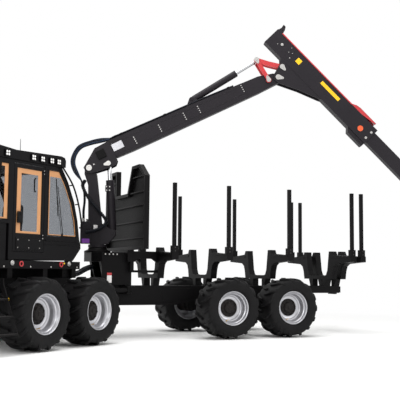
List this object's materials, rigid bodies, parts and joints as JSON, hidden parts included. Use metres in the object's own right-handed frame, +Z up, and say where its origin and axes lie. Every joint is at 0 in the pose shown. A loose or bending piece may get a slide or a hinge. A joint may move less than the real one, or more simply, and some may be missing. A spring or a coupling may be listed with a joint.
{
  "type": "forestry forwarder",
  "caption": "Articulated eight-wheeled forestry forwarder with a glazed cab, a staked load space and a knuckle-boom crane with a grapple.",
  "frame": {"origin": "middle of the tow pin's bore at the rear end of the rear frame", "axes": "+X forward along the rear frame, +Y to its left, +Z up along the tow pin"},
  "size_m": [11.589, 4.9729, 6.9357],
  "materials": {
    "tyre_rubber": "matt",
    "rim_paint": "satin",
    "machine_paint": "satin",
    "cab_paint": "satin",
    "crane_paint": "satin",
    "red_paint": "satin",
    "dark_steel": "matt",
    "rod_chrome": "polished",
    "glass": "clear",
    "seat_fabric": "matt",
    "lamp": "gloss"
  },
  "bodies": {
    "rear_frame": {"rear_chassis": "machine_paint", "joint_casting": "machine_paint", "rear_bogie": "machine_paint", "bunks": "machine_paint", "stakes": "machine_paint", "headgate": "machine_paint", "crane_pedestal": "machine_paint", "hydraulic_block": "dark_steel", "rear_lamps": "lamp"},
    "front_frame": {"front_chassis": "machine_paint", "front_bogie": "machine_paint", "front_guard": "machine_paint", "engine_block": "dark_steel", "cab_shell": "cab_paint", "cab_roof": "cab_paint", "cowl": "cab_paint", "cab_glass": "glass", "cab_seat": "seat_fabric", "roof_lamps": "lamp", "side_boxes": "machine_paint"},
    "bonnet": {"bonnet": "cab_paint"},
    "cab_door": {"cab_door": "cab_paint", "door_glass": "glass"},
    "ladder": {"ladder": "machine_paint"},
    "wheel_front_left_1": {"tyre_front_left_1": "tyre_rubber", "rim_front_left_1": "rim_paint"},
    "wheel_front_left_2": {"tyre_front_left_2": "tyre_rubber", "rim_front_left_2": "rim_paint"},
    "wheel_front_right_1": {"tyre_front_right_1": "tyre_rubber", "rim_front_right_1": "rim_paint"},
    "wheel_front_right_2": {"tyre_front_right_2": "tyre_rubber", "rim_front_right_2": "rim_paint"},
    "wheel_rear_left_1": {"tyre_rear_left_1": "tyre_rubber", "rim_rear_left_1": "rim_paint"},
    "wheel_rear_left_2": {"tyre_rear_left_2": "tyre_rubber", "rim_rear_left_2": "rim_paint"},
    "wheel_rear_right_1": {"tyre_rear_right_1": "tyre_rubber", "rim_rear_right_1": "rim_paint"},
    "wheel_rear_right_2": {"tyre_rear_right_2": "tyre_rubber", "rim_rear_right_2": "rim_paint"},
    "crane_column": {"crane_column": "crane_paint"},
    "lift_boom": {"lift_boom": "crane_paint"},
    "jib": {"jib": "crane_paint"},
    "extension": {"extension": "crane_paint"},
    "tip_link": {"tip_link": "dark_steel"},
    "rotator": {"rotator": "dark_steel"},
    "grapple_head": {"grapple_head": "crane_paint"},
    "claw_outer": {"claw_outer": "crane_paint"},
    "claw_inner": {"claw_inner": "crane_paint"},
    "lift_barrel": {"lift_barrel": "crane_paint"},
    "lift_rod": {"lift_rod": "rod_chrome"},
    "jib_barrel": {"jib_barrel": "crane_paint"},
    "jib_rod": {"jib_rod": "rod_chrome"},
    "rocker": {"rocker": "red_paint"},
    "coupler": {"coupler": "red_paint"},
    "steer_left_barrel": {"steer_left_barrel": "machine_paint"},
    "steer_left_rod": {"steer_left_rod": "rod_chrome"},
    "steer_right_barrel": {"steer_right_barrel": "machine_paint"},
    "steer_right_rod": {"steer_right_rod": "rod_chrome"}
  },
  "joints": [
    {"name": "steer", "type": "hinge", "parent": "rear_frame", "child": "front_frame", "pos_m": [6.62, 0, 0], "axis": [0, 0, 1], "range_deg": [-75.7, 8.3]},
    {"name": "roll_front_left_1", "type": "hinge", "parent": "front_frame", "child": "wheel_front_left_1", "pos_m": [8.14362, 2.44649, -0.35], "axis": [-0.5548, 0.832, 0], "continuous": true},
    {"name": "roll_front_left_2", "type": "hinge", "parent": "front_frame", "child": "wheel_front_left_2", "pos_m": [6.89568, 1.61423, -0.35], "axis": [-0.5548, 0.832, 0], "continuous": true},
    {"name": "roll_front_right_1", "type": "hinge", "parent": "front_frame", "child": "wheel_front_right_1", "pos_m": [9.46414, 0.46644, -0.35], "axis": [-0.5548, 0.832, 0], "continuous": true},
    {"name": "roll_front_right_2", "type": "hinge", "parent": "front_frame", "child": "wheel_front_right_2", "pos_m": [8.21621, -0.36583, -0.35], "axis": [-0.5548, 0.832, 0], "continuous": true},
    {"name": "roll_rear_left_1", "type": "hinge", "parent": "rear_frame", "child": "wheel_rear_left_1", "pos_m": [3.61, 1.19, -0.35], "axis": [0, 1, 0], "continuous": true},
    {"name": "roll_rear_left_2", "type": "hinge", "parent": "rear_frame", "child": "wheel_rear_left_2", "pos_m": [2.11, 1.19, -0.35], "axis": [0, 1, 0], "continuous": true},
    {"name": "roll_rear_right_1", "type": "hinge", "parent": "rear_frame", "child": "wheel_rear_right_1", "pos_m": [3.61, -1.19, -0.35], "axis": [0, 1, 0], "continuous": true},
    {"name": "roll_rear_right_2", "type": "hinge", "parent": "rear_frame", "child": "wheel_rear_right_2", "pos_m": [2.11, -1.19, -0.35], "axis": [0, 1, 0], "continuous": true},
    {"name": "bonnet_open", "type": "hinge", "parent": "front_frame", "child": "bonnet", "pos_m": [10.07261, 2.3026, 0.355], "axis": [-0.5548, 0.832, 0], "range_deg": [0, 55]},
    {"name": "door_open", "type": "hinge", "parent": "front_frame", "child": "cab_door", "pos_m": [7.86552, 1.92808, 1.49], "axis": [0, 0, 1], "range_deg": [0, 80]},
    {"name": "ladder_fold", "type": "hinge", "parent": "front_frame", "child": "ladder", "pos_m": [8.97974, 2.932, 0.235], "axis": [-0.5548, 0.832, 0], "range_deg": [-80, 0]},
    {"name": "slew", "type": "hinge", "parent": "rear_frame", "child": "crane_column", "pos_m": [6.21, 0, 0.94], "axis": [0, 0, 1], "continuous": true},
    {"name": "lift", "type": "hinge", "parent": "crane_column", "child": "lift_boom", "pos_m": [6.40471, -0.07867, 2.68], "axis": [0.3746, 0.9272, 0], "range_deg": [-28, 38]},
    {"name": "jib", "type": "hinge", "parent": "lift_boom", "child": "jib", "pos_m": [2.51981, 1.49093, 4.822], "axis": [-0.3746, -0.9272, 0], "range_deg": [-60, 25]},
    {"name": "extend", "type": "slide", "parent": "jib", "child": "extension", "axis": [0.651, -0.263, 0.712], "range_m": [-0.5, 1.5]},
    {"name": "link_swing", "type": "hinge", "parent": "extension", "child": "tip_link", "pos_m": [-0.61125, 2.75596, 2.09898], "axis": [-0.3746, -0.9272, 0], "range_deg": [-60, 60]},
    {"name": "rotator_swing", "type": "hinge", "parent": "tip_link", "child": "rotator", "pos_m": [-0.61125, 2.75596, 1.85898], "axis": [-0.9272, 0.3746, 0], "range_deg": [-50, 50]},
    {"name": "grapple_turn", "type": "hinge", "parent": "rotator", "child": "grapple_head", "pos_m": [-0.61125, 2.75596, 1.52898], "axis": [0, 0, 1], "continuous": true},
    {"name": "claw_outer_open", "type": "hinge", "parent": "grapple_head", "child": "claw_outer", "pos_m": [-0.7086, 2.7953, 1.26898], "axis": [0.3746, 0.9272, 0], "range_deg": [0, 55]},
    {"name": "claw_inner_open", "type": "hinge", "parent": "grapple_head", "child": "claw_inner", "pos_m": [-0.51389, 2.71663, 1.26898], "axis": [0.3746, 0.9272, 0], "range_deg": [-56, 1]},
    {"name": "lift_barrel_swing", "type": "hinge", "parent": "crane_column", "child": "lift_barrel", "pos_m": [5.9133, 0.11987, 1.26], "axis": [0.3746, 0.9272, 0], "range_deg": [-6, 6]},
    {"name": "lift_rod_slide", "type": "slide", "parent": "lift_barrel", "child": "lift_rod", "axis": [0.0586, -0.0237, 0.998], "range_m": [-0.23, 0.3]},
    {"name": "jib_barrel_swing", "type": "hinge", "parent": "lift_boom", "child": "jib_barrel", "pos_m": [4.31855, 0.7642, 4.27], "axis": [-0.3746, -0.9272, 0], "range_deg": [-6, 8]},
    {"name": "jib_rod_slide", "type": "slide", "parent": "jib_barrel", "child": "jib_rod", "axis": [-0.7798, 0.3151, 0.5409], "range_m": [-0.43, 0.2]},
    {"name": "rocker_swing", "type": "hinge", "parent": "lift_boom", "child": "rocker", "pos_m": [2.71637, 1.41152, 4.75], "axis": [-0.3746, -0.9272, 0], "range_deg": [-52, 25]},
    {"name": "coupler_swing", "type": "hinge", "parent": "jib", "child": "coupler", "pos_m": [2.42524, 1.52914, 5.065], "axis": [-0.3746, -0.9272, 0], "range_deg": [-18, 35]},
    {"name": "steer_left_swing", "type": "hinge", "parent": "rear_frame", "child": "steer_left_barrel", "pos_m": [5.66, 0.52, 0.02], "axis": [0, 0, 1], "range_deg": [-20, 6]},
    {"name": "steer_left_slide", "type": "slide", "parent": "steer_left_barrel", "child": "steer_left_rod", "axis": [0.9982, -0.0592, 0], "range_m": [-0.09, 0.56]},
    {"name": "steer_right_swing", "type": "hinge", "parent": "rear_frame", "child": "steer_right_barrel", "pos_m": [5.66, -0.52, 0.02], "axis": [0, 0, 1], "range_deg": [-20, 6]},
    {"name": "steer_right_slide", "type": "slide", "parent": "steer_right_barrel", "child": "steer_right_rod", "axis": [0.9572, 0.2894, 0], "range_m": [-0.5, 0.09]}
  ],
  "couplings": [
    {"joint": "claw_inner_open", "follows": "claw_outer_open", "ratio": -1},
    {"joint": "lift_barrel_swing", "follows": "lift", "ratio": 0.0765},
    {"joint": "lift_rod_slide", "follows": "lift", "m_per_rad": 0.4156},
    {"joint": "jib_barrel_swing", "follows": "jib", "ratio": -0.0728},
    {"joint": "jib_rod_slide", "follows": "jib", "m_per_rad": 0.3781},
    {"joint": "rocker_swing", "follows": "jib", "ratio": 0.7648},
    {"joint": "coupler_swing", "follows": "jib", "ratio": -0.495},
    {"joint": "steer_left_swing", "follows": "steer", "ratio": 0.1844},
    {"joint": "steer_left_slide", "follows": "steer", "m_per_rad": -0.3816},
    {"joint": "steer_right_swing", "follows": "steer", "ratio": 0.2139},
    {"joint": "steer_right_slide", "follows": "steer", "m_per_rad": 0.3456}
  ]
}
